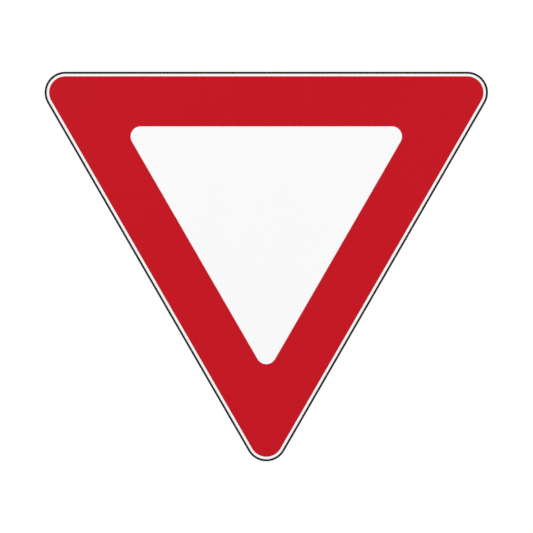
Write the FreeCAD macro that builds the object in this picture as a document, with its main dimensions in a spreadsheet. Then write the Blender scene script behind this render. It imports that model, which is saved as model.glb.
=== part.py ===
import FreeCAD, Part
import math
import os
from enum import IntEnum

import Sketcher
from FreeCAD import Vector

# Give way road sign, 750 mm high, without its post.
#
# The sign is a flat aluminium plate, an equal-sided triangle with its point down and rounded corners.
# White retroreflective sheeting covers its front, and a ring of red overlay film makes the band,
# which is a little wider along the top.
# A black plastic strip of J section is pushed over the plate's edge: its short front lip is the thin
# dark line round the white border, and its long leg lies on the plate's back.
# Two extruded channels are riveted to the back. Hexagon bolt heads slide in them and hold the post clips.
# The rivets have countersunk heads, flush with the plate's front and hidden by the sheeting.
#
# Frame: +X is to the right and +Z up as a driver sees the sign, and the front faces -Y.
# The origin is the middle of the upper channel's rear face, where the upper post clip seats.

# Driving dimensions, in millimetres and degrees.
SIZES = (
    ("sign_height", 750.0, "plate, from its top edge to its rounded point"),
    ("corner_radius", 39.0, "plate's corners"),
    ("plate_thickness", 3.0, "aluminium plate"),
    ("sheeting_thickness", 0.4, "white sheeting"),
    ("sheeting_margin", 0.5, "plate's edge to the sheeting's edge"),
    ("border_width", 7.5, "plate's edge to the red band"),
    ("band_width", 95.5, "red band along the sloping sides"),
    ("top_band_width", 96.85, "red band along the top"),
    ("centre_radius", 19.5, "corners of the white centre"),
    ("red_film_thickness", 0.1, "red overlay film"),
    ("trim_wall", 1.0, "edge strip's web, lip and leg"),
    ("trim_round", 0.6, "edge strip's outer corners"),
    ("trim_fit", 0.2, "plate's edge to the strip's web"),
    ("trim_front_lip", 2.6, "front lip's reach inside the plate's edge"),
    ("trim_rear_leg", 9.0, "rear leg's reach inside the plate's edge"),
    ("trim_joint", 0.3, "gap between the strip's two ends"),
    ("channel_depth", 13.5, "plate's back to the face that the post clips seat on"),
    ("channel_base_width", 40.0, "channel's base"),
    ("channel_base_thickness", 2.0, "channel's base"),
    ("channel_wall", 2.0, "channel's side walls"),
    ("channel_lip", 2.5, "lips that hold the bolt heads in"),
    ("channel_slot", 9.0, "slot between the lips, for an 8 mm bolt"),
    ("bolt_head_space", 14.0, "inside width, for a bolt head of 13 mm across its flats"),
    ("channel_corner", 1.0, "channel's outer corners, and the fillets between walls and base"),
    ("channel_edge_round", 0.5, "channel's small edges and inside corners"),
    ("channel_end_gap", 15.0, "channel's end to the strip's leg, measured level"),
    ("upper_channel_drop", 130.0, "plate's top edge to the upper channel's centreline"),
    ("channel_spacing", 280.0, "upper channel to lower channel"),
    ("rivet_diameter", 4.8, "rivet's shank"),
    ("rivet_clearance", 0.05, "rivet to its hole, on the radius"),
    ("rivet_head_diameter", 9.4, "countersunk head"),
    ("rivet_head_angle", 120.0, "countersunk head"),
    ("rivet_end_diameter", 9.0, "rivet's formed end, where it lies on the channel's base"),
    ("rivet_end_flat", 6.0, "flat top of the formed end"),
    ("rivet_end_height", 2.0, "formed end"),
    ("rivet_end_margin", 28.0, "channel's end to its first rivet"),
    ("rivet_spacing", 320.0, "most that two rivets in a row are apart"),
)

# Places that several pieces share, as expressions over the sizes.
# The inradius is the distance from the sign's centre to each of its straight sides.
INRADIUS = "((Sizes.sign_height + Sizes.corner_radius) / 3)"
SIGN_CENTRE = f"(Sizes.upper_channel_drop - {INRADIUS})"
PLATE_BACK = "-Sizes.channel_depth"
PLATE_FRONT = f"({PLATE_BACK} - Sizes.plate_thickness)"
SHEETING_FRONT = f"({PLATE_FRONT} - Sizes.sheeting_thickness)"
UPPER_CHANNEL = "0"
LOWER_CHANNEL = "-Sizes.channel_spacing"
CHANNEL_HALF_BODY = "(Sizes.bolt_head_space / 2 + Sizes.channel_wall)"
RIVET_ROW = f"((Sizes.channel_base_width / 2 + {CHANNEL_HALF_BODY}) / 2)"
HOLE_RADIUS = "(Sizes.rivet_diameter / 2 + Sizes.rivet_clearance)"
STRIP_LEG_TIP = f"({INRADIUS} - Sizes.trim_rear_leg)"
STRIP_OUTSIDE = f"({INRADIUS} + Sizes.trim_fit + Sizes.trim_wall)"

# Directions from the centre to the triangle's corners, and half the angle that each corner's arc spans.
CORNER_ANGLES = (30, 150, 270)
HALF_CORNER_ANGLE = 60
RIGHT_ANGLE = 90

ON_AXIS = "0"
CUTS = ("PartDesign::Pocket", "PartDesign::Hole")


class Axis(IntEnum):
    """Index numbers of a sketch's own axes."""

    LEVEL = -1
    UPRIGHT = -2


class Point(IntEnum):
    """Index numbers of the points of a sketch's curve."""

    START = 1
    END = 2
    CENTRE = 3


ORIGIN_POINT = (Axis.LEVEL, Point.START)


def channel_length(height):
    """Level length between the strip's legs at the channel's lower edge, less the gap at each end."""
    lower_edge = f"({height} - Sizes.channel_base_width / 2 - {SIGN_CENTRE})"
    half_width = f"((2 * {STRIP_LEG_TIP} + {lower_edge}) / sqrt(3))"
    return f"(2 * ({half_width} - Sizes.channel_end_gap))"


def rivet_span(height):
    """First to last rivet of a row."""
    return f"({channel_length(height)} - 2 * Sizes.rivet_end_margin)"


def make_sizes(doc):
    """Spreadsheet of the driving dimensions, with an alias for each."""
    sheet = doc.addObject("Spreadsheet::Sheet", "Sizes")
    for row, (alias, value, meaning) in enumerate(SIZES, start=1):
        sheet.set(f"A{row}", meaning)
        sheet.set(f"B{row}", str(value))
        sheet.setAlias(f"B{row}", alias)
    doc.recompute()


def make_body(doc, label, **place):
    """Body of one sub-part, placed by expressions for x, y or z."""
    body = doc.addObject("PartDesign::Body", label)
    body.Label = label
    for axis, expression in place.items():
        body.setExpression(f"Placement.Base.{axis}", expression)
    return body


def origin_feature(body, role):
    """Plane or axis of the body's own origin."""
    return next(item for item in body.Origin.OriginFeatures if item.Role == role)


def make_sketch(body, name, plane, offset=None):
    """Sketch on one of the body's origin planes, or in front of it by an expression."""
    sketch = body.newObject("Sketcher::SketchObject", name)
    sketch.AttachmentSupport = [(origin_feature(body, plane), "")]
    sketch.MapMode = "FlatFace"
    if offset:
        sketch.setExpression("AttachmentOffset.Base.z", offset)
    return sketch


def number(sketch, expression):
    """Present value of an expression."""
    value = sketch.evalExpression(expression)
    return float(getattr(value, "Value", value))


def dimension(sketch, kind, where, expression, name):
    """Named dimension of a sketch, bound to an expression."""
    index = sketch.addConstraint(Sketcher.Constraint(kind, *where, number(sketch, expression)))
    sketch.renameConstraint(index, name)
    sketch.setExpression(f"Constraints.{name}", expression)


def arc(sketch, centre, radius, first, last):
    """Arc in a sketch, anticlockwise between two directions in degrees."""
    circle = Part.Circle(centre, Vector(0, 0, 1), radius)
    return sketch.addGeometry(Part.ArcOfCircle(circle, math.radians(first), math.radians(last)))


def add_rounded_triangle(sketch, name, side_distance, radius, top_distance=None):
    """Equal-sided triangle round the sketch's origin, point down, with rounded corners.

    Each side is as far from the origin as the others, unless the top side has a distance of its own.
    """
    distances = (top_distance or side_distance, side_distance, side_distance)
    top_height = number(sketch, distances[0])
    inradius = sum(number(sketch, distance) for distance in distances) / len(distances)
    middle = Vector(0, top_height - inradius)
    corner = number(sketch, radius)
    corners = []
    for direction in CORNER_ANGLES:
        angle = math.radians(direction)
        centre = middle + Vector(math.cos(angle), math.sin(angle)) * 2 * (inradius - corner)
        ends = direction - HALF_CORNER_ANGLE, direction + HALF_CORNER_ANGLE
        corners.append(arc(sketch, centre, corner, *ends))
    sides = []
    for index, before in enumerate(corners):
        after = corners[(index + 1) % len(corners)]
        start = sketch.getPoint(before, Point.END)
        end = sketch.getPoint(after, Point.START)
        side = sketch.addGeometry(Part.LineSegment(start, end))
        sketch.addConstraint(Sketcher.Constraint("Tangent", before, Point.END, side, Point.START))
        sketch.addConstraint(Sketcher.Constraint("Tangent", side, Point.END, after, Point.START))
        sides.append(side)
    sketch.addConstraint(Sketcher.Constraint("Horizontal", sides[0]))
    for other_corner, other_side in zip(corners[1:], sides[1:]):
        sketch.addConstraint(Sketcher.Constraint("Equal", corners[0], other_corner))
        sketch.addConstraint(Sketcher.Constraint("Equal", sides[0], other_side))
    dimension(sketch, "Radius", (corners[0],), radius, f"{name}_radius")
    for index, (side, distance) in enumerate(zip(sides, distances)):
        dimension(sketch, "Distance", (*ORIGIN_POINT, side), distance, f"{name}_side{index}")


def add_side(sketch, start, end, upright, place, name):
    """Side of a squared outline, along one axis and placed from the other by an expression."""
    side = sketch.addGeometry(Part.LineSegment(start, end))
    if upright:
        direction, axis, measure = "Vertical", Axis.UPRIGHT, "DistanceX"
    else:
        direction, axis, measure = "Horizontal", Axis.LEVEL, "DistanceY"
    sketch.addConstraint(Sketcher.Constraint(direction, side))
    if place == ON_AXIS:
        sketch.addConstraint(Sketcher.Constraint("PointOnObject", side, Point.START, axis))
    else:
        dimension(sketch, measure, (*ORIGIN_POINT, side, Point.START), place, name)
    return side


def add_round_corner(sketch, before, after, point, arriving, leaving, radius, name):
    """Quarter circle between two sides, tangent to both."""
    size = number(sketch, radius)
    centre = point + (leaving - arriving) * size
    turns_left = arriving.cross(leaving).z > 0
    first_direction = -leaving if turns_left else arriving
    first = math.degrees(math.atan2(first_direction.y, first_direction.x))
    near, far = (Point.START, Point.END) if turns_left else (Point.END, Point.START)
    corner = arc(sketch, centre, size, first, first + RIGHT_ANGLE)
    sketch.addConstraint(Sketcher.Constraint("Tangent", before, Point.END, corner, near))
    sketch.addConstraint(Sketcher.Constraint("Tangent", corner, far, after, Point.START))
    dimension(sketch, "Radius", (corner,), radius, name)


def add_squared_outline(sketch, corners):
    """Closed outline whose sides run along the sketch's axes.

    Each corner is its x, y and radius as expressions, and the radius is None where it is sharp.
    """
    points = [Vector(number(sketch, x), number(sketch, y)) for x, y, _ in corners]
    radii = [number(sketch, radius) if radius else 0.0 for _, _, radius in corners]
    count = len(corners)
    headings = [(points[(index + 1) % count] - points[index]).normalize() for index in range(count)]
    sides = []
    for index, (x, y, _) in enumerate(corners):
        following = (index + 1) % count
        start = points[index] + headings[index] * radii[index]
        end = points[following] - headings[index] * radii[following]
        upright = x == corners[following][0]
        place = x if upright else y
        sides.append(add_side(sketch, start, end, upright, place, f"side{index}"))
    for index, (_, _, radius) in enumerate(corners):
        before, after = sides[index - 1], sides[index]
        if radius is None:
            sketch.addConstraint(Sketcher.Constraint("Coincident", before, Point.END, after, Point.START))
        else:
            arriving, leaving = headings[index - 1], headings[index]
            add_round_corner(sketch, before, after, points[index], arriving, leaving, radius, f"round{index}")


def add_first_hole(sketch, height, span):
    """Circle where the first rivet of a channel's lower row goes through."""
    x = f"(-{span} / 2)"
    y = f"({height} - {RIVET_ROW})"
    centre = Vector(number(sketch, x), number(sketch, y))
    circle = sketch.addGeometry(Part.Circle(centre, Vector(0, 0, 1), number(sketch, HOLE_RADIUS)))
    dimension(sketch, "DistanceX", (*ORIGIN_POINT, circle, Point.CENTRE), x, "row_start")
    dimension(sketch, "DistanceY", (*ORIGIN_POINT, circle, Point.CENTRE), y, "row_height")
    dimension(sketch, "Radius", (circle,), HOLE_RADIUS, "hole_radius")


def add_rivet_section(sketch):
    """Half of a rivet's lengthwise section beside its axis, with the plate's back on the other axis."""
    head_radius = "Sizes.rivet_head_diameter / 2"
    shank_radius = "Sizes.rivet_diameter / 2"
    front = "-Sizes.plate_thickness"
    head_back = f"({front} + ({head_radius} - {shank_radius}) / tan(Sizes.rivet_head_angle / 2))"
    base_back = "Sizes.channel_base_thickness"
    end_top = f"({base_back} + Sizes.rivet_end_height)"
    corners = (
        (ON_AXIS, front),
        (head_radius, front),
        (shank_radius, head_back),
        (shank_radius, base_back),
        ("Sizes.rivet_end_diameter / 2", base_back),
        ("Sizes.rivet_end_flat / 2", end_top),
        (ON_AXIS, end_top),
    )
    points = [Vector(number(sketch, x), number(sketch, y)) for x, y in corners]
    following = points[1:] + points[:1]
    sides = [sketch.addGeometry(Part.LineSegment(*ends)) for ends in zip(points, following)]
    for index, (side, (x, y)) in enumerate(zip(sides, corners)):
        before = sides[index - 1]
        sketch.addConstraint(Sketcher.Constraint("Coincident", before, Point.END, side, Point.START))
        if x == ON_AXIS:
            sketch.addConstraint(Sketcher.Constraint("PointOnObject", side, Point.START, Axis.UPRIGHT))
        else:
            dimension(sketch, "DistanceX", (*ORIGIN_POINT, side, Point.START), x, f"radius{index}")
        dimension(sketch, "DistanceY", (*ORIGIN_POINT, side, Point.START), y, f"depth{index}")


def pad(body, sketch, name, length, symmetric=False):
    """Pad of a sketch to a length given by an expression."""
    feature = body.newObject("PartDesign::Pad", name)
    feature.Profile = sketch
    if symmetric:
        feature.SideType = "Symmetric"
    feature.setExpression("Length", length)
    return feature


def cut_through(body, sketch, name):
    """Pocket of a sketch through the whole body, on both sides of the sketch."""
    feature = body.newObject("PartDesign::Pocket", name)
    feature.Profile = sketch
    feature.SideType = "Symmetric"
    feature.Type = "ThroughAll"
    return feature


def repeat_over_rivets(body, feature, height):
    """Repeat the first rivet's feature along its row, and over to the channel's upper row."""
    pattern = body.newObject("PartDesign::LinearPattern", f"{feature.Name}Rows")
    pattern.Originals = [feature]
    pattern.Direction = (origin_feature(body, "X_Axis"), [""])
    pattern.Direction2 = (origin_feature(body, "Z_Axis"), [""])
    pattern.setExpression("Length", rivet_span(height))
    pattern.setExpression("Occurrences", f"ceil({rivet_span(height)} / Sizes.rivet_spacing) + 1")
    pattern.setExpression("Length2", f"2 * {RIVET_ROW}")
    pattern.Occurrences2 = 2
    body.Tip = pattern
    return pattern


def make_sign_plate(doc):
    """Aluminium plate, with a countersunk hole for each rivet."""
    body = make_body(doc, "sign_plate", y=PLATE_BACK, z=SIGN_CENTRE)
    outline = make_sketch(body, "PlateOutline", "XZ_Plane")
    add_rounded_triangle(outline, "edge", INRADIUS, "Sizes.corner_radius")
    pad(body, outline, "Plate", "Sizes.plate_thickness")
    for name, height in (("Upper", UPPER_CHANNEL), ("Lower", LOWER_CHANNEL)):
        place = make_sketch(body, f"{name}HolePlace", "XZ_Plane", "Sizes.plate_thickness")
        add_first_hole(place, f"({height} - {SIGN_CENTRE})", rivet_span(height))
        doc.recompute()
        hole = body.newObject("PartDesign::Hole", f"{name}Hole")
        hole.Profile = place
        hole.DepthType = "ThroughAll"
        hole.setExpression("Diameter", f"2 * {HOLE_RADIUS}")
        hole.HoleCutType = "Countersink"
        hole.HoleCutCustomValues = True
        hole.setExpression("HoleCutDiameter", "Sizes.rivet_head_diameter + 2 * Sizes.rivet_clearance")
        hole.setExpression("HoleCutCountersinkAngle", "Sizes.rivet_head_angle")
        repeat_over_rivets(body, hole, height)
        doc.recompute()
    return body


def make_white_sheeting(doc):
    """White retroreflective film over the plate's front, a little smaller than the plate."""
    body = make_body(doc, "white_sheeting", y=PLATE_FRONT, z=SIGN_CENTRE)
    outline = make_sketch(body, "SheetingOutline", "XZ_Plane")
    inradius = f"({INRADIUS} - Sizes.sheeting_margin)"
    add_rounded_triangle(outline, "edge", inradius, "(Sizes.corner_radius - Sizes.sheeting_margin)")
    pad(body, outline, "Sheeting", "Sizes.sheeting_thickness")
    return body


def make_red_border_film(doc):
    """Red overlay film, a ring that leaves the white border and the white centre."""
    body = make_body(doc, "red_border_film", y=SHEETING_FRONT, z=SIGN_CENTRE)
    outline = make_sketch(body, "BandOutline", "XZ_Plane")
    outside = f"({INRADIUS} - Sizes.border_width)"
    inside = f"({outside} - Sizes.band_width)"
    inside_top = f"({outside} - Sizes.top_band_width)"
    add_rounded_triangle(outline, "outer", outside, "(Sizes.corner_radius - Sizes.border_width)")
    add_rounded_triangle(outline, "inner", inside, "Sizes.centre_radius", inside_top)
    pad(body, outline, "Band", "Sizes.red_film_thickness")
    return body


def make_edge_trim(doc):
    """Strip of J section round the plate's edge, its ends meeting at the middle of the top side."""
    body = make_body(doc, "edge_trim", y=PLATE_BACK, z=SIGN_CENTRE)
    path = make_sketch(body, "StripPath", "XZ_Plane")
    add_rounded_triangle(path, "edge", INRADIUS, "Sizes.corner_radius")
    section = make_sketch(body, "StripSection", "YZ_Plane")
    slot_front = "(-Sizes.plate_thickness - Sizes.sheeting_thickness)"
    lip_front = f"({slot_front} - Sizes.trim_wall)"
    leg_back = "Sizes.trim_wall"
    lip_tip = f"({INRADIUS} - Sizes.trim_front_lip)"
    slot_end = f"({INRADIUS} + Sizes.trim_fit)"
    add_squared_outline(section, (
        (ON_AXIS, STRIP_LEG_TIP, None),
        (ON_AXIS, slot_end, None),
        (slot_front, slot_end, None),
        (slot_front, lip_tip, None),
        (lip_front, lip_tip, None),
        (lip_front, STRIP_OUTSIDE, "Sizes.trim_round"),
        (leg_back, STRIP_OUTSIDE, "Sizes.trim_round"),
        (leg_back, STRIP_LEG_TIP, None),
    ))
    strip = body.newObject("PartDesign::AdditivePipe", "Strip")
    strip.Profile = section
    strip.Spine = (path, [""])
    joint = make_sketch(body, "JointOutline", "XZ_Plane")
    half_joint = "Sizes.trim_joint / 2"
    joint_top = f"({STRIP_OUTSIDE} + Sizes.trim_wall)"
    joint_bottom = f"({STRIP_LEG_TIP} - Sizes.trim_wall)"
    add_squared_outline(joint, (
        (half_joint, joint_bottom, None),
        (half_joint, joint_top, None),
        (f"-{half_joint}", joint_top, None),
        (f"-{half_joint}", joint_bottom, None),
    ))
    cut_through(body, joint, "Joint")
    return body


def make_channel(doc, label, height):
    """Extruded channel: a flat base riveted to the plate, and two walls with lips over a bolt-head space."""
    body = make_body(doc, label, z=height)
    section = make_sketch(body, "ChannelSection", "YZ_Plane")
    base_front = PLATE_BACK
    base_back = f"({PLATE_BACK} + Sizes.channel_base_thickness)"
    lip_inside = "-Sizes.channel_lip"
    slot_side = "Sizes.channel_slot / 2"
    wall_inside = "Sizes.bolt_head_space / 2"
    base_edge = "Sizes.channel_base_width / 2"
    small_round = "Sizes.channel_edge_round"
    upper_half = (
        (base_back, wall_inside, small_round),
        (lip_inside, wall_inside, small_round),
        (lip_inside, slot_side, small_round),
        (ON_AXIS, slot_side, small_round),
        (ON_AXIS, CHANNEL_HALF_BODY, "Sizes.channel_corner"),
        (base_back, CHANNEL_HALF_BODY, "Sizes.channel_corner"),
        (base_back, base_edge, small_round),
        (base_front, base_edge, None),
    )
    lower_half = tuple((y, f"-{z}", radius) for y, z, radius in reversed(upper_half))
    add_squared_outline(section, upper_half + lower_half)
    pad(body, section, "Extrusion", channel_length(height), symmetric=True)
    place = make_sketch(body, "ChannelHolePlace", "XZ_Plane")
    add_first_hole(place, "0", rivet_span(height))
    hole = cut_through(body, place, "ChannelHole")
    repeat_over_rivets(body, hole, height)
    return body


def make_rivets(doc, label, height):
    """Rivets of one channel: countersunk head, shank and formed end, turned about the first rivet's axis."""
    first_x = f"(-{rivet_span(height)} / 2)"
    body = make_body(doc, label, x=first_x, y=PLATE_BACK, z=f"({height} - {RIVET_ROW})")
    section = make_sketch(body, "RivetSection", "XY_Plane")
    add_rivet_section(section)
    rivet = body.newObject("PartDesign::Revolution", "Rivet")
    rivet.Profile = section
    rivet.ReferenceAxis = (origin_feature(body, "Y_Axis"), [""])
    repeat_over_rivets(body, rivet, height)
    return body


def check_model(doc, bodies):
    """Stop if anything failed to build, or if a cut took nothing away."""
    for item in doc.Objects:
        if "Invalid" in item.State or "Error" in item.State:
            raise RuntimeError(f"{item.Label} didn't build: {item.getStatusString()}")
    for body in bodies:
        if body.Shape.isNull() or not body.Shape.isValid():
            raise RuntimeError(f"{body.Label} has no valid shape")
        for cut in body.Group:
            if cut.TypeId in CUTS and cut.Shape.Volume >= cut.BaseFeature.Shape.Volume:
                raise RuntimeError(f"{cut.Label} in {body.Label} cuts nothing")


def main():
    """Build the sign and write each sub-part to its own file."""
    doc = FreeCAD.newDocument("GiveWaySign")
    make_sizes(doc)
    bodies = [
        make_sign_plate(doc),
        make_white_sheeting(doc),
        make_red_border_film(doc),
        make_edge_trim(doc),
        make_channel(doc, "upper_channel", UPPER_CHANNEL),
        make_channel(doc, "lower_channel", LOWER_CHANNEL),
        make_rivets(doc, "upper_channel_rivets", UPPER_CHANNEL),
        make_rivets(doc, "lower_channel_rivets", LOWER_CHANNEL),
    ]
    doc.recompute()
    check_model(doc, bodies)
    os.makedirs("parts", exist_ok=True)
    for body in bodies:
        body.Shape.exportStep(f"parts/{body.Label}.step")


main()
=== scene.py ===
"""Looks of the give way sign: smooth outlines, the finish of every surface, soft light and a front view."""

from math import cos, radians, sin, tan
from typing import NamedTuple

import bmesh
import bpy
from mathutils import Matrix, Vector


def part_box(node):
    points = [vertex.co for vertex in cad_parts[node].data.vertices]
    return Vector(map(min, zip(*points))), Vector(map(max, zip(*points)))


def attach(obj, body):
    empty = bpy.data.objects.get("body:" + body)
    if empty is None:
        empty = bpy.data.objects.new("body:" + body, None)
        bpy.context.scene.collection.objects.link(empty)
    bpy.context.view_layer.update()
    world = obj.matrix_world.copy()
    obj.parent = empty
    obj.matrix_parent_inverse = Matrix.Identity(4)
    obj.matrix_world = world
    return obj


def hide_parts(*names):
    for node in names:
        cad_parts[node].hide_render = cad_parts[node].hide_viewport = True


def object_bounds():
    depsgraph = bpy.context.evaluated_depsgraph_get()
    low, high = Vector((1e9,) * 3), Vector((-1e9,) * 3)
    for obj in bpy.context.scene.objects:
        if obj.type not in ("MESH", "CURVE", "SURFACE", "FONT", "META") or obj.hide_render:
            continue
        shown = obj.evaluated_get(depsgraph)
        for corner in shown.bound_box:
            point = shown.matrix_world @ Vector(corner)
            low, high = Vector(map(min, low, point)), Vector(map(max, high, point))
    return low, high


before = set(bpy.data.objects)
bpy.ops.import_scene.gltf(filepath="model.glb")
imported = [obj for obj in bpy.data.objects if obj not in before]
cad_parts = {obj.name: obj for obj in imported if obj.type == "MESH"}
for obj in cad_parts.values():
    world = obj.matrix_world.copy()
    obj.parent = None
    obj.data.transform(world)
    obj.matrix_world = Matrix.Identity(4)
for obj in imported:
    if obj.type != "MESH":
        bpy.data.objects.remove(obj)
cad_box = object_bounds()

MM = 0.001

# The sign's outline, as in its construction
CORNER_RADIUS = 39 * MM
BORDER_WIDTH = 7.5 * MM
BAND_WIDTH = 95.5 * MM
TOP_BAND_WIDTH = 96.85 * MM
CENTRE_RADIUS = 19.5 * MM

# Directions of the corners from the sign's centre, and how far each turns to either side, in degrees
CORNER_ANGLES = (30, 150, 270)
HALF_CORNER_ANGLE = 60

# Edge strip: its J section about the plate's edge, its rounding, and the gap between its two ends
STRIP_OUTSIDE = 1.2 * MM
STRIP_FIT = 0.2 * MM
STRIP_WALL = 1.0 * MM
STRIP_FRONT_LIP = 2.6 * MM
STRIP_REAR_LEG = 9.0 * MM
STRIP_ROUND = 0.6 * MM
STRIP_TIP_ROUND = 0.3 * MM
STRIP_JOINT = 0.3 * MM

# Rivets: their half-section and their places on a channel
RIVET_SHANK_RADIUS = 2.4 * MM
RIVET_HEAD_RADIUS = 4.7 * MM
RIVET_HEAD_ANGLE = 120
RIVET_END_RADIUS = 4.5 * MM
RIVET_END_FLAT = 3.0 * MM
RIVET_END_HEIGHT = 2.0 * MM
RIVET_END_ROUND = 1.2 * MM
RIVET_END_CENTRE = 0.5 * MM
RIVET_ROW = 14.5 * MM
RIVET_END_MARGIN = 28 * MM
RIVETS_IN_ROW = {"upper": 3, "lower": 2}
CHANNEL_BASE = 2.0 * MM

# How finely corners, small rounds and turned forms are stepped, and from which angle an edge looks sharp
CORNER_STEPS = 32
ROUND_STEPS = 5
LATHE_STEPS = 48
SHARP_ANGLE = 35

# The photograph's side and where the whole sign lies in it, in pixels
PHOTO_SIDE = 533
PHOTO_LEFT, PHOTO_RIGHT = 44.6, 488.0
PHOTO_TOP, PHOTO_BOTTOM = 71.66, 461.4

# Focal length and sensor width of the camera, in millimetres
LENS, SENSOR = 135, 36

# The floor is as far below the sign as the ground is at a roadside, and turns white between two distances
FLOOR_HEIGHT = -2.7
FLOOR_SIZE = 24
FLOOR_FADE = (1.8, 3.6)

# The white that is seen behind the sign, and the tone whose light falls on it
BACKGROUND = (1, 1, 1, 1)
SURROUNDINGS = (0.7, 0.7, 0.7, 1)

# Lamps: place in metres and power in watts of each
LAMP_SIZE = 3.0
LAMPS = {
    "key": ((-2.3, -2.6, 0.8), 36),
    "fill": ((2.5, -2.4, 0.2), 32),
    "back_left": ((-2.2, 2.4, 1.5), 15),
    "back_right": ((2.4, 2.2, 1.0), 14),
}

# A sharp triangle is three times its inradius high, and the rounding of its point takes off one radius
plate_low, plate_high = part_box("sign_plate")
INRADIUS = (plate_high.z - plate_low.z + CORNER_RADIUS) / 3
CENTRE = Vector((0, 0, plate_high.z - INRADIUS))


def direction(degrees):
    """Unit vector in the sign's plane, turned from +X towards +Z."""
    return Vector((cos(radians(degrees)), 0, sin(radians(degrees))))


def rounded_triangle(side_distance, radius, top_distance=None):
    """Stations once round a triangle with its point down: each a place and its outward direction.

    Each side is as far from the sign's centre as the others, unless the top side has a distance of its own.
    """
    # Distances to the three sides add up to the same height from any place inside the triangle
    distances = (top_distance or side_distance, side_distance, side_distance)
    inradius = sum(distances) / len(distances)
    middle = CENTRE + direction(90) * (distances[0] - inradius)
    stations = []
    for angle in CORNER_ANGLES:
        # A corner is twice as far from the middle as a side is
        corner = middle + direction(angle) * 2 * (inradius - radius)
        for step in range(CORNER_STEPS + 1):
            outward = direction(angle + HALF_CORNER_ANGLE * (2 * step / CORNER_STEPS - 1))
            stations.append((corner + outward * radius, outward))
    return stations


def rounded_profile(corners):
    """Points of a flat outline whose corners are x, y and the radius that rounds each."""
    points = []
    for index, (x, y, radius) in enumerate(corners):
        corner = Vector((x, y))
        if radius == 0:
            points.append(corner)
            continue
        back = (Vector(corners[index - 1][:2]) - corner).normalized()
        ahead = (Vector(corners[(index + 1) % len(corners)][:2]) - corner).normalized()
        half_angle = back.angle(ahead) / 2
        centre = corner + (back + ahead).normalized() * radius / sin(half_angle)
        first, last = (corner + side * radius / tan(half_angle) - centre for side in (back, ahead))
        for step in range(ROUND_STEPS + 1):
            points.append(centre + first.slerp(last, step / ROUND_STEPS) * radius)
    return points


def running_lengths(points):
    """Distance from the first point to each, along the line through them."""
    lengths = [0.0]
    for before, after in zip(points, points[1:]):
        lengths.append(lengths[-1] + (after - before).length)
    return lengths


def turned(point, axis):
    """Loop of places that a half-section's point, radius and depth, passes round an axis along Y."""
    radius, depth = point
    centre = axis + Vector((0, depth, 0))
    return [centre + direction(360 * step / LATHE_STEPS) * radius for step in range(LATHE_STEPS)]


def add_skin(shape, rows, closed):
    """Faces over rows of points, each row a loop; open rows are capped at both ends."""
    loops = [[shape.verts.new(point) for point in row] for row in rows]
    pairs = list(zip(loops, loops[1:]))
    if closed:
        pairs.append((loops[-1], loops[0]))
    else:
        shape.faces.new(loops[0])
        shape.faces.new(loops[-1])
    for near, far in pairs:
        for index, corner in enumerate(near):
            following = (index + 1) % len(near)
            shape.faces.new((corner, near[following], far[following], far[index]))


def add_object(name, data):
    """New object of the scene for a mesh, a light or a camera."""
    added = bpy.data.objects.new(name, data)
    bpy.context.scene.collection.objects.link(added)
    return added


def add_piece(name, shape, replaced, material):
    """Piece of the sign that stands for a node of the frame, with even shading over its flats and rounds."""
    bmesh.ops.recalc_face_normals(shape, faces=shape.faces)
    mesh = bpy.data.meshes.new(name)
    shape.to_mesh(mesh)
    shape.free()
    mesh.shade_smooth()
    mesh.set_sharp_from_angle(angle=radians(SHARP_ANGLE))
    mesh.materials.append(material)
    piece = add_object(name, mesh)
    shading = piece.modifiers.new("even_shading", "WEIGHTED_NORMAL")
    shading.keep_sharp = True
    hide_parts(replaced)
    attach(piece, "root")
    return piece


def make_red_band():
    """Red film as a flat ring with smooth corners."""
    low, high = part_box("red_border_film")
    outside = INRADIUS - BORDER_WIDTH
    outer = rounded_triangle(outside, CORNER_RADIUS - BORDER_WIDTH)
    inner = rounded_triangle(outside - BAND_WIDTH, CENTRE_RADIUS, outside - TOP_BAND_WIDTH)
    edges = ((outer, low.y), (inner, low.y), (inner, high.y), (outer, high.y))
    rows = [[(place.x, y, place.z) for place, _ in stations] for stations, y in edges]
    shape = bmesh.new()
    add_skin(shape, rows, closed=True)
    add_piece("red_band", shape, "red_border_film", red_film())


def make_black_edging():
    """Edge strip, its J section carried round the plate's edge from one side of the joint to the other."""
    low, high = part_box("edge_trim")
    slot_front, slot_back = low.y + STRIP_WALL, high.y - STRIP_WALL
    section = rounded_profile((
        (STRIP_FIT, slot_front, 0),
        (-STRIP_FRONT_LIP, slot_front, 0),
        (-STRIP_FRONT_LIP, low.y, STRIP_TIP_ROUND),
        (STRIP_OUTSIDE, low.y, STRIP_ROUND),
        (STRIP_OUTSIDE, high.y, STRIP_ROUND),
        (-STRIP_REAR_LEG, high.y, STRIP_TIP_ROUND),
        (-STRIP_REAR_LEG, slot_back, 0),
        (STRIP_FIT, slot_back, 0),
    ))
    corners = rounded_triangle(INRADIUS, CORNER_RADIUS)
    last_corner, others = corners[:CORNER_STEPS + 1], corners[CORNER_STEPS + 1:]
    up = direction(90)
    start, end = [(CENTRE + Vector((side * STRIP_JOINT / 2, 0, INRADIUS)), up) for side in (-1, 1)]
    stations = [start, *others, *last_corner, end]
    rows = []
    for place, outward in stations:
        rows.append([place + outward * reach + Vector((0, y, 0)) for reach, y in section])
    shape = bmesh.new()
    add_skin(shape, rows, closed=False)
    piece = add_piece("black_edging", shape, "edge_trim", black_plastic())
    note_strip_places(piece.data, stations, section)


def note_strip_places(mesh, stations, section):
    """Store each vertex's distance along the strip and round its section, which its finish follows."""
    lengths = running_lengths([place for place, _ in stations])
    girths = running_lengths(section)
    places = mesh.attributes.new("strip", "FLOAT_VECTOR", "POINT")
    values = [value for length in lengths for girth in girths for value in (length, girth, 0)]
    places.data.foreach_set("vector", values)


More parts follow.
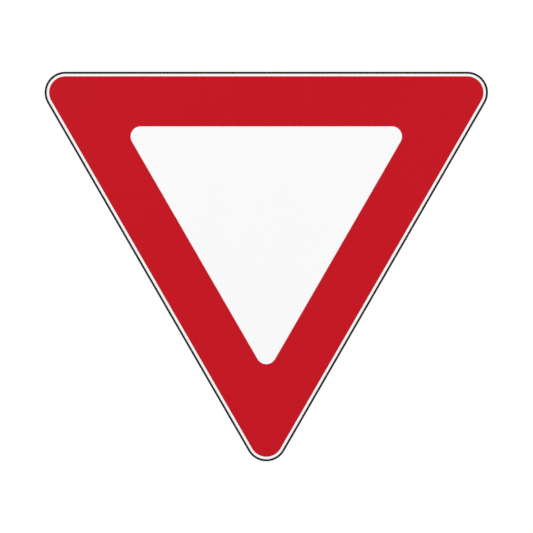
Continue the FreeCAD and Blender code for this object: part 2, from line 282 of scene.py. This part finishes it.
def make_rivets(level, material):
    """Rivets of one channel, turned about their axes, with rounded edges on their formed ends."""
    low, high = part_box(f"{level}_channel")
    head_depth = (RIVET_HEAD_RADIUS - RIVET_SHANK_RADIUS) / tan(radians(RIVET_HEAD_ANGLE / 2))
    base_back = plate_high.y + CHANNEL_BASE
    end_back = base_back + RIVET_END_HEIGHT
    profile = rounded_profile((
        (RIVET_HEAD_RADIUS, plate_low.y, 0),
        (RIVET_SHANK_RADIUS, plate_low.y + head_depth, 0),
        (RIVET_SHANK_RADIUS, base_back, 0),
        (RIVET_END_RADIUS, base_back, 0),
        (RIVET_END_FLAT, end_back, RIVET_END_ROUND),
        (RIVET_END_CENTRE, end_back, 0),
    ))
    gaps = RIVETS_IN_ROW[level] - 1
    first, last = low.x + RIVET_END_MARGIN, high.x - RIVET_END_MARGIN
    middle = (low.z + high.z) / 2
    shape = bmesh.new()
    for z in (middle - RIVET_ROW, middle + RIVET_ROW):
        for index in range(gaps + 1):
            axis = Vector((first + (last - first) * index / gaps, 0, z))
            add_skin(shape, [turned(point, axis) for point in profile], closed=False)
    add_piece(f"{level}_rivets", shape, f"{level}_channel_rivets", material)


class Nodes:
    """Tree of nodes, with short calls that add to it."""

    def __init__(self, tree):
        self.tree = tree

    def join(self, socket, value):
        """Set a socket to a value, or join a node's output to it."""
        if isinstance(value, bpy.types.NodeSocket):
            self.tree.links.new(value, socket)
        else:
            socket.default_value = value

    def add(self, kind, inputs=None, **settings):
        """New node with its inputs given by name or number."""
        node = self.tree.nodes.new(kind)
        for name, value in settings.items():
            setattr(node, name, value)
        for key, value in (inputs or {}).items():
            self.join(node.inputs[key], value)
        return node

    def maths(self, operation, *values):
        """Sum, product or the like of values."""
        return self.add("ShaderNodeMath", dict(enumerate(values)), operation=operation).outputs[0]

    def weighted(self, shares, values):
        """Sum of values, each times its share."""
        total = 0.0
        for share, value in zip(shares, values):
            total = self.maths("MULTIPLY_ADD", value, share, total)
        return total

    def spread(self, value, before, after):
        """Value moved from one range to another, and held within it."""
        limits = zip(("From Min", "From Max", "To Min", "To Max"), (*before, *after))
        return self.add("ShaderNodeMapRange", {"Value": value, **dict(limits)}).outputs["Result"]

    def mixed(self, share, first, second):
        """Colour between two, by a share from 0 to 1."""
        node = self.add("ShaderNodeMix", {"Factor": share}, data_type="RGBA")
        colours = [socket for socket in node.inputs if socket.type == "RGBA"]
        self.join(colours[0], first)
        self.join(colours[1], second)
        return next(socket for socket in node.outputs if socket.type == "RGBA")


class Grain(NamedTuple):
    """Noise pattern: its size along each axis in metres, how far its detail goes and how strong that is."""

    size: tuple
    detail: float = 2.0
    roughness: float = 0.5


class Finish(Nodes):
    """Procedural material on one shader, whose plain values are given by socket."""

    def __init__(self, name, **values):
        self.material = bpy.data.materials.new(name)
        self.material.use_nodes = True
        super().__init__(self.material.node_tree)
        self.shader = self.tree.nodes["Principled BSDF"]
        for socket, value in values.items():
            self.put(socket.replace("_", " "), value)

    def put(self, socket, value):
        """Set a socket of the shader to a value, or join a node's output to it."""
        self.join(self.shader.inputs[socket], value)

    def places(self):
        """Places on the sign, in metres."""
        return self.add("ShaderNodeTexCoord").outputs["Object"]

    def noise(self, vector, grain):
        """Noise from 0 to 1 with the size and detail of a grain."""
        scale = tuple(1 / length for length in grain.size)
        place = self.add("ShaderNodeVectorMath", {0: vector, 1: scale}, operation="MULTIPLY").outputs[0]
        inputs = {"Vector": place, "Scale": 1.0, "Detail": grain.detail, "Roughness": grain.roughness}
        return self.add("ShaderNodeTexNoise", inputs).outputs["Fac"]

    def bump(self, height, depth, normal=None):
        """Normal of a surface whose height from 0 to 1 stands for a depth in metres."""
        inputs = {"Height": height, "Distance": depth, "Strength": 1.0}
        if normal is not None:
            inputs["Normal"] = normal
        return self.add("ShaderNodeBump", inputs).outputs["Normal"]


# The range that noise keeps to nearly everywhere, and the middle of it
MOST_NOISE = (0.3, 0.7)
MIDDLE_NOISE = (0.35, 0.65)

# Sheeting's cells: their size, and as parts of a cell, its half and how far a seam reaches into it
CELL_WIDTH, CELL_HEIGHT = 4.4 * MM, 6.2 * MM
HALF_CELL = 0.5
SEAM_REACH = 0.07

# Sheeting's finish: how its seams, its cells, its clouds of tone and its waves show
SEAM_STRENGTH = 0.6
SEAM_DEPTH = 0.01 * MM
SEAM_DULLNESS = 0.12
CELL_ROUGHNESS = (0.26, 0.30)
FILM_CLOUDS = Grain((90 * MM,) * 3)
CLOUD_AND_CELL_SHARES = (0.7, 0.3)
FILM_WAVES = Grain((22 * MM,) * 3)
FILM_WAVE_DEPTH = 0.02 * MM

# Films: darkest and lightest tone, tone of the seams, and gloss
WHITE_TONES = (0.918, 0.918, 0.915, 1), (0.936, 0.936, 0.934, 1)
WHITE_SEAM_TONE = (0.83, 0.84, 0.85, 1)
WHITE_SPECULAR = 0.16
RED_TONES = (0.515, 0.001, 0.009, 1), (0.545, 0.002, 0.011, 1)
RED_SEAM_TONE = (0.45, 0.001, 0.006, 1)
RED_SPECULAR = 0.13


def prism_cells(finish):
    """The sheeting's diamond cells: 1 on a seam and 0 inside a cell, and a chance value for each cell."""
    place = finish.add("ShaderNodeSeparateXYZ", {0: finish.places()}).outputs
    across = finish.maths("DIVIDE", place["X"], CELL_WIDTH)
    up = finish.maths("DIVIDE", place["Z"], CELL_HEIGHT)
    # A seam lies where either of these two slanting counts is a whole number
    counts = [finish.maths(operation, across, up) for operation in ("ADD", "SUBTRACT")]
    distances = [finish.maths("PINGPONG", count, HALF_CELL) for count in counts]
    seams = finish.spread(finish.maths("MINIMUM", *distances), (0, SEAM_REACH), (1, 0))
    rows = [finish.maths("FLOOR", count) for count in counts]
    cell = finish.add("ShaderNodeCombineXYZ", dict(enumerate(rows))).outputs[0]
    chance = finish.add("ShaderNodeTexWhiteNoise", {"Vector": cell}, noise_dimensions="3D").outputs["Value"]
    return seams, chance


def sheeting(name, tones, seam_tone, specular):
    """Retroreflective film: faint sealed cells, soft clouds of tone and a slight waviness."""
    finish = Finish(name, Specular_IOR_Level=specular)
    seams, chance = prism_cells(finish)
    cloud = finish.noise(finish.places(), FILM_CLOUDS)
    film = finish.mixed(finish.weighted(CLOUD_AND_CELL_SHARES, (cloud, chance)), *tones)
    finish.put("Base Color", finish.mixed(finish.maths("MULTIPLY", seams, SEAM_STRENGTH), film, seam_tone))
    gloss = finish.spread(chance, (0, 1), CELL_ROUGHNESS)
    finish.put("Roughness", finish.maths("MULTIPLY_ADD", seams, SEAM_DULLNESS, gloss))
    waves = finish.noise(finish.places(), FILM_WAVES)
    finish.put("Normal", finish.bump(seams, -SEAM_DEPTH, finish.bump(waves, FILM_WAVE_DEPTH)))
    return finish.material


def white_film():
    """White retroreflective sheeting."""
    return sheeting("white_film", WHITE_TONES, WHITE_SEAM_TONE, WHITE_SPECULAR)


def red_film():
    """Clear red film over the same sheeting."""
    return sheeting("red_film", RED_TONES, RED_SEAM_TONE, RED_SPECULAR)


# Black plastic: long lines along the strip, close together round its section, and a fine grain
PLASTIC_LINES = Grain((400 * MM, 0.35 * MM, 1), detail=3)
PLASTIC_LINE_DEPTH = 0.03 * MM
PLASTIC_GRAIN = Grain((0.5 * MM,) * 3)
PLASTIC_GRAIN_DEPTH = 0.008 * MM
PLASTIC_TONES = (0.0005, 0.0005, 0.0008, 1), (0.0065, 0.0065, 0.0078, 1)
PLASTIC_ROUGHNESS = (0.34, 0.52)
PLASTIC_SPECULAR = 0.14


def black_plastic():
    """Black extruded plastic with fine lines along the strip."""
    finish = Finish("black_plastic", Specular_IOR_Level=PLASTIC_SPECULAR)
    strip = finish.add("ShaderNodeAttribute", attribute_name="strip").outputs["Vector"]
    lines = finish.noise(strip, PLASTIC_LINES)
    grain = finish.noise(finish.places(), PLASTIC_GRAIN)
    finish.put("Base Color", finish.mixed(finish.spread(lines, MIDDLE_NOISE, (0, 1)), *PLASTIC_TONES))
    finish.put("Roughness", finish.spread(lines, MOST_NOISE, PLASTIC_ROUGHNESS))
    relief = finish.bump(lines, PLASTIC_LINE_DEPTH)
    finish.put("Normal", finish.bump(grain, PLASTIC_GRAIN_DEPTH, relief))
    return finish.material


# Scratches: headings in degrees, their drift in radians, size, and the noise that makes a mark
SCRATCH_ANGLES = (24, -37, 71)
SCRATCH_BEND = 0.2
SCRATCH_BENDS = Grain((400 * MM,) * 3)
SCRATCH_MARKS = Grain((35 * MM, 500 * MM, 0.45 * MM), detail=1)
SCRATCH_RANGE = (0.75, 0.82)

# Scratches: their tone and how they show
SCRATCH_TONE = (0.62, 0.63, 0.64, 1)
SCRATCH_STRENGTH = 0.6
SCRATCH_SHINE = 0.1
SCRATCH_DEPTH = 0.02 * MM


def scratches(finish):
    """Sparse fine handling scratches in a few directions: 1 on a scratch and 0 beside it."""
    marks = 0.0
    drift = finish.noise(finish.places(), SCRATCH_BENDS)
    bend = finish.spread(drift, MOST_NOISE, (-SCRATCH_BEND, SCRATCH_BEND))
    for angle in SCRATCH_ANGLES:
        heading = finish.maths("ADD", bend, radians(angle))
        turn = {"Vector": finish.places(), "Axis": (0, 1, 0), "Angle": heading}
        place = finish.add("ShaderNodeVectorRotate", turn).outputs[0]
        mark = finish.spread(finish.noise(place, SCRATCH_MARKS), SCRATCH_RANGE, (0, 1))
        marks = finish.maths("MAXIMUM", mark, marks)
    return marks


# Rolled sheet: its lines, bands and clouds, with the share of each in the tone
SHEET_LINES = Grain((140 * MM, 140 * MM, 0.45 * MM), detail=3, roughness=0.6)
SHEET_BANDS = Grain((700 * MM, 700 * MM, 30 * MM))
SHEET_CLOUDS = Grain((220 * MM, 220 * MM, 90 * MM), detail=5)
SHEET_SHARES = (0.5, 0.3, 0.2)
SHEET_TONES = (0.38, 0.39, 0.40, 1), (0.45, 0.46, 0.47, 1)
SHEET_ROUGHNESS = (0.36, 0.46)
SHEET_LINE_DULLNESS = 0.05
SHEET_LINE_DEPTH = 0.008 * MM


def rolled_aluminium():
    """Mill-finish sheet: fine rolling lines across the plate, faint clouds and handling scratches."""
    finish = Finish("rolled_aluminium", Metallic=1.0)
    place = finish.places()
    lines = finish.noise(place, SHEET_LINES)
    bands = finish.noise(place, SHEET_BANDS)
    clouds = finish.noise(place, SHEET_CLOUDS)
    marks = scratches(finish)
    tone = finish.spread(finish.weighted(SHEET_SHARES, (lines, bands, clouds)), MIDDLE_NOISE, (0, 1))
    metal = finish.mixed(tone, *SHEET_TONES)
    scratched = finish.maths("MULTIPLY", marks, SCRATCH_STRENGTH)
    finish.put("Base Color", finish.mixed(scratched, metal, SCRATCH_TONE))
    dull = finish.spread(clouds, MOST_NOISE, SHEET_ROUGHNESS)
    dull = finish.maths("ADD", dull, finish.spread(lines, MOST_NOISE, (0, SHEET_LINE_DULLNESS)))
    finish.put("Roughness", finish.maths("SUBTRACT", dull, finish.maths("MULTIPLY", marks, SCRATCH_SHINE)))
    relief = finish.bump(lines, SHEET_LINE_DEPTH)
    finish.put("Normal", finish.bump(marks, -SCRATCH_DEPTH, relief))
    return finish.material


# Extrusion: its die lines and clouds, with the share of each in the tone
DIE_LINES = Grain((600 * MM, 0.5 * MM, 0.5 * MM), detail=3, roughness=0.65)
CHANNEL_CLOUDS = Grain((60 * MM, 25 * MM, 25 * MM), detail=3)
CHANNEL_SHARES = (0.6, 0.4)
CHANNEL_TONES = (0.56, 0.57, 0.58, 1), (0.66, 0.67, 0.68, 1)
CHANNEL_ROUGHNESS = (0.28, 0.38)
DIE_LINE_DEPTH = 0.01 * MM

# Sawn ends: how squarely a face lies across the channel, its marks and its finish
SAWN_FACING = (0.90, 0.95)
SAW_MARKS = Grain((500 * MM, 14 * MM, 0.3 * MM))
SAWN_TONES = (0.44, 0.45, 0.46, 1), (0.68, 0.69, 0.70, 1)
SAWN_DULLNESS = 0.15
SAW_MARK_DEPTH = 0.04 * MM


def extruded_aluminium():
    """Mill-finish extrusion: die lines along the channel, and duller ends with saw marks."""
    finish = Finish("extruded_aluminium", Metallic=1.0)
    place = finish.places()
    lines = finish.noise(place, DIE_LINES)
    clouds = finish.noise(place, CHANNEL_CLOUDS)
    saw = finish.noise(place, SAW_MARKS)
    normal = finish.add("ShaderNodeNewGeometry").outputs["True Normal"]
    along = finish.add("ShaderNodeSeparateXYZ", {0: normal}).outputs["X"]
    sawn = finish.spread(finish.maths("ABSOLUTE", along), SAWN_FACING, (0, 1))
    tone = finish.spread(finish.weighted(CHANNEL_SHARES, (lines, clouds)), MIDDLE_NOISE, (0, 1))
    metal = finish.mixed(tone, *CHANNEL_TONES)
    finish.put("Base Color", finish.mixed(sawn, metal, finish.mixed(saw, *SAWN_TONES)))
    dull = finish.spread(lines, MOST_NOISE, CHANNEL_ROUGHNESS)
    finish.put("Roughness", finish.maths("MULTIPLY_ADD", sawn, SAWN_DULLNESS, dull))
    relief = finish.bump(finish.maths("MULTIPLY", saw, sawn), SAW_MARK_DEPTH)
    finish.put("Normal", finish.bump(lines, DIE_LINE_DEPTH, relief))
    return finish.material


# Rivets' satin finish
RIVET_GRAIN = Grain((0.5 * MM,) * 3, detail=3)
RIVET_GRAIN_DEPTH = 0.02 * MM
RIVET_TONES = (0.40, 0.40, 0.41, 1), (0.56, 0.56, 0.57, 1)
RIVET_ROUGHNESS = (0.34, 0.48)


def satin_aluminium():
    """Satin rivets with a fine grain."""
    finish = Finish("satin_aluminium", Metallic=1.0)
    grain = finish.noise(finish.places(), RIVET_GRAIN)
    finish.put("Base Color", finish.mixed(grain, *RIVET_TONES))
    finish.put("Roughness", finish.spread(grain, MOST_NOISE, RIVET_ROUGHNESS))
    finish.put("Normal", finish.bump(grain, RIVET_GRAIN_DEPTH))
    return finish.material


def background_rays(nodes):
    """1 for rays that see the background, straight, mirrored or through glass, and 0 for the rest."""
    rays = nodes.add("ShaderNodeLightPath").outputs
    seen = rays["Is Camera Ray"]
    for kind in ("Is Glossy Ray", "Is Transmission Ray"):
        seen = nodes.maths("MAXIMUM", seen, rays[kind])
    return seen


def make_world():
    """White background, also in reflections, and a softer tone for the light that falls on the sign."""
    world = bpy.data.worlds.new("studio")
    bpy.context.scene.world = world
    world.use_nodes = True
    nodes = Nodes(world.node_tree)
    shader = nodes.tree.nodes["Background"]
    nodes.join(shader.inputs["Color"], nodes.mixed(background_rays(nodes), SURROUNDINGS, BACKGROUND))
    nodes.join(shader.inputs["Strength"], 1.0)


# Floor: soft variation of its tone, and its gloss
FLOOR_GRAIN = Grain((0.4,) * 3)
FLOOR_TONES = (0.90, 0.90, 0.90, 1), (0.93, 0.93, 0.93, 1)
FLOOR_ROUGHNESS = 0.9
FLOOR_SPECULAR = 0.1


def floor_paint():
    """Pale paint that turns into the white background away from the sign."""
    finish = Finish("floor", Roughness=FLOOR_ROUGHNESS, Specular_IOR_Level=FLOOR_SPECULAR)
    finish.put("Base Color", finish.mixed(finish.noise(finish.places(), FLOOR_GRAIN), *FLOOR_TONES))
    level = finish.add("ShaderNodeVectorMath", {0: finish.places(), 1: (1, 1, 0)}, operation="MULTIPLY")
    away = finish.add("ShaderNodeVectorMath", {0: level.outputs[0]}, operation="LENGTH").outputs["Value"]
    fade = finish.spread(away, FLOOR_FADE, (0, 1))
    share = finish.maths("MULTIPLY", fade, background_rays(finish))
    white = finish.add("ShaderNodeEmission", {"Color": BACKGROUND, "Strength": 1.0}).outputs[0]
    surface = finish.add("ShaderNodeMixShader", {0: share, 1: finish.shader.outputs[0], 2: white}).outputs[0]
    finish.join(finish.tree.nodes["Material Output"].inputs["Surface"], surface)
    return finish.material


def make_floor():
    """Plain pale floor below the sign."""
    half = FLOOR_SIZE / 2
    corners = [(x * half, y * half, FLOOR_HEIGHT) for x, y in ((-1, -1), (1, -1), (1, 1), (-1, 1))]
    mesh = bpy.data.meshes.new("floor")
    mesh.from_pydata(corners, [], [range(len(corners))])
    mesh.materials.append(floor_paint())
    add_object("floor", mesh)


def add_lamp(name, place, power):
    """Soft square lamp that faces the middle of the sign."""
    light = bpy.data.lights.new(name, "AREA")
    light.size = LAMP_SIZE
    light.energy = power
    lamp = add_object(name, light)
    lamp.location = place
    lamp.rotation_euler = (CENTRE - Vector(place)).to_track_quat("-Z", "Y").to_euler()


def make_camera():
    """Level front view that frames the sign as the photograph does."""
    low, high = cad_box
    middle = (low + high) / 2
    pixel = (high.x - low.x) / (PHOTO_RIGHT - PHOTO_LEFT)
    half_side = PHOTO_SIDE / 2
    across = (half_side - (PHOTO_LEFT + PHOTO_RIGHT) / 2) * pixel
    up = ((PHOTO_TOP + PHOTO_BOTTOM) / 2 - half_side) * pixel
    distance = LENS / SENSOR * PHOTO_SIDE * pixel
    data = bpy.data.cameras.new("camera")
    data.lens = LENS
    data.sensor_width = SENSOR
    camera = add_object("camera", data)
    camera.location = (middle.x + across, low.y - distance, middle.z + up)
    camera.rotation_euler = (radians(90), 0, 0)
    bpy.context.scene.camera = camera


channel_finish = extruded_aluminium()
NODE_FINISHES = {
    "sign_plate": rolled_aluminium(),
    "white_sheeting": white_film(),
    "upper_channel": channel_finish,
    "lower_channel": channel_finish,
}
for name, material in NODE_FINISHES.items():
    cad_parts[name].material_slots[0].material = material

make_red_band()
make_black_edging()
rivet_finish = satin_aluminium()
for level in RIVETS_IN_ROW:
    make_rivets(level, rivet_finish)

make_world()
make_floor()
for name, (place, power) in LAMPS.items():
    add_lamp(name, place, power)
make_camera()
bpy.context.scene.view_settings.view_transform = "Standard"
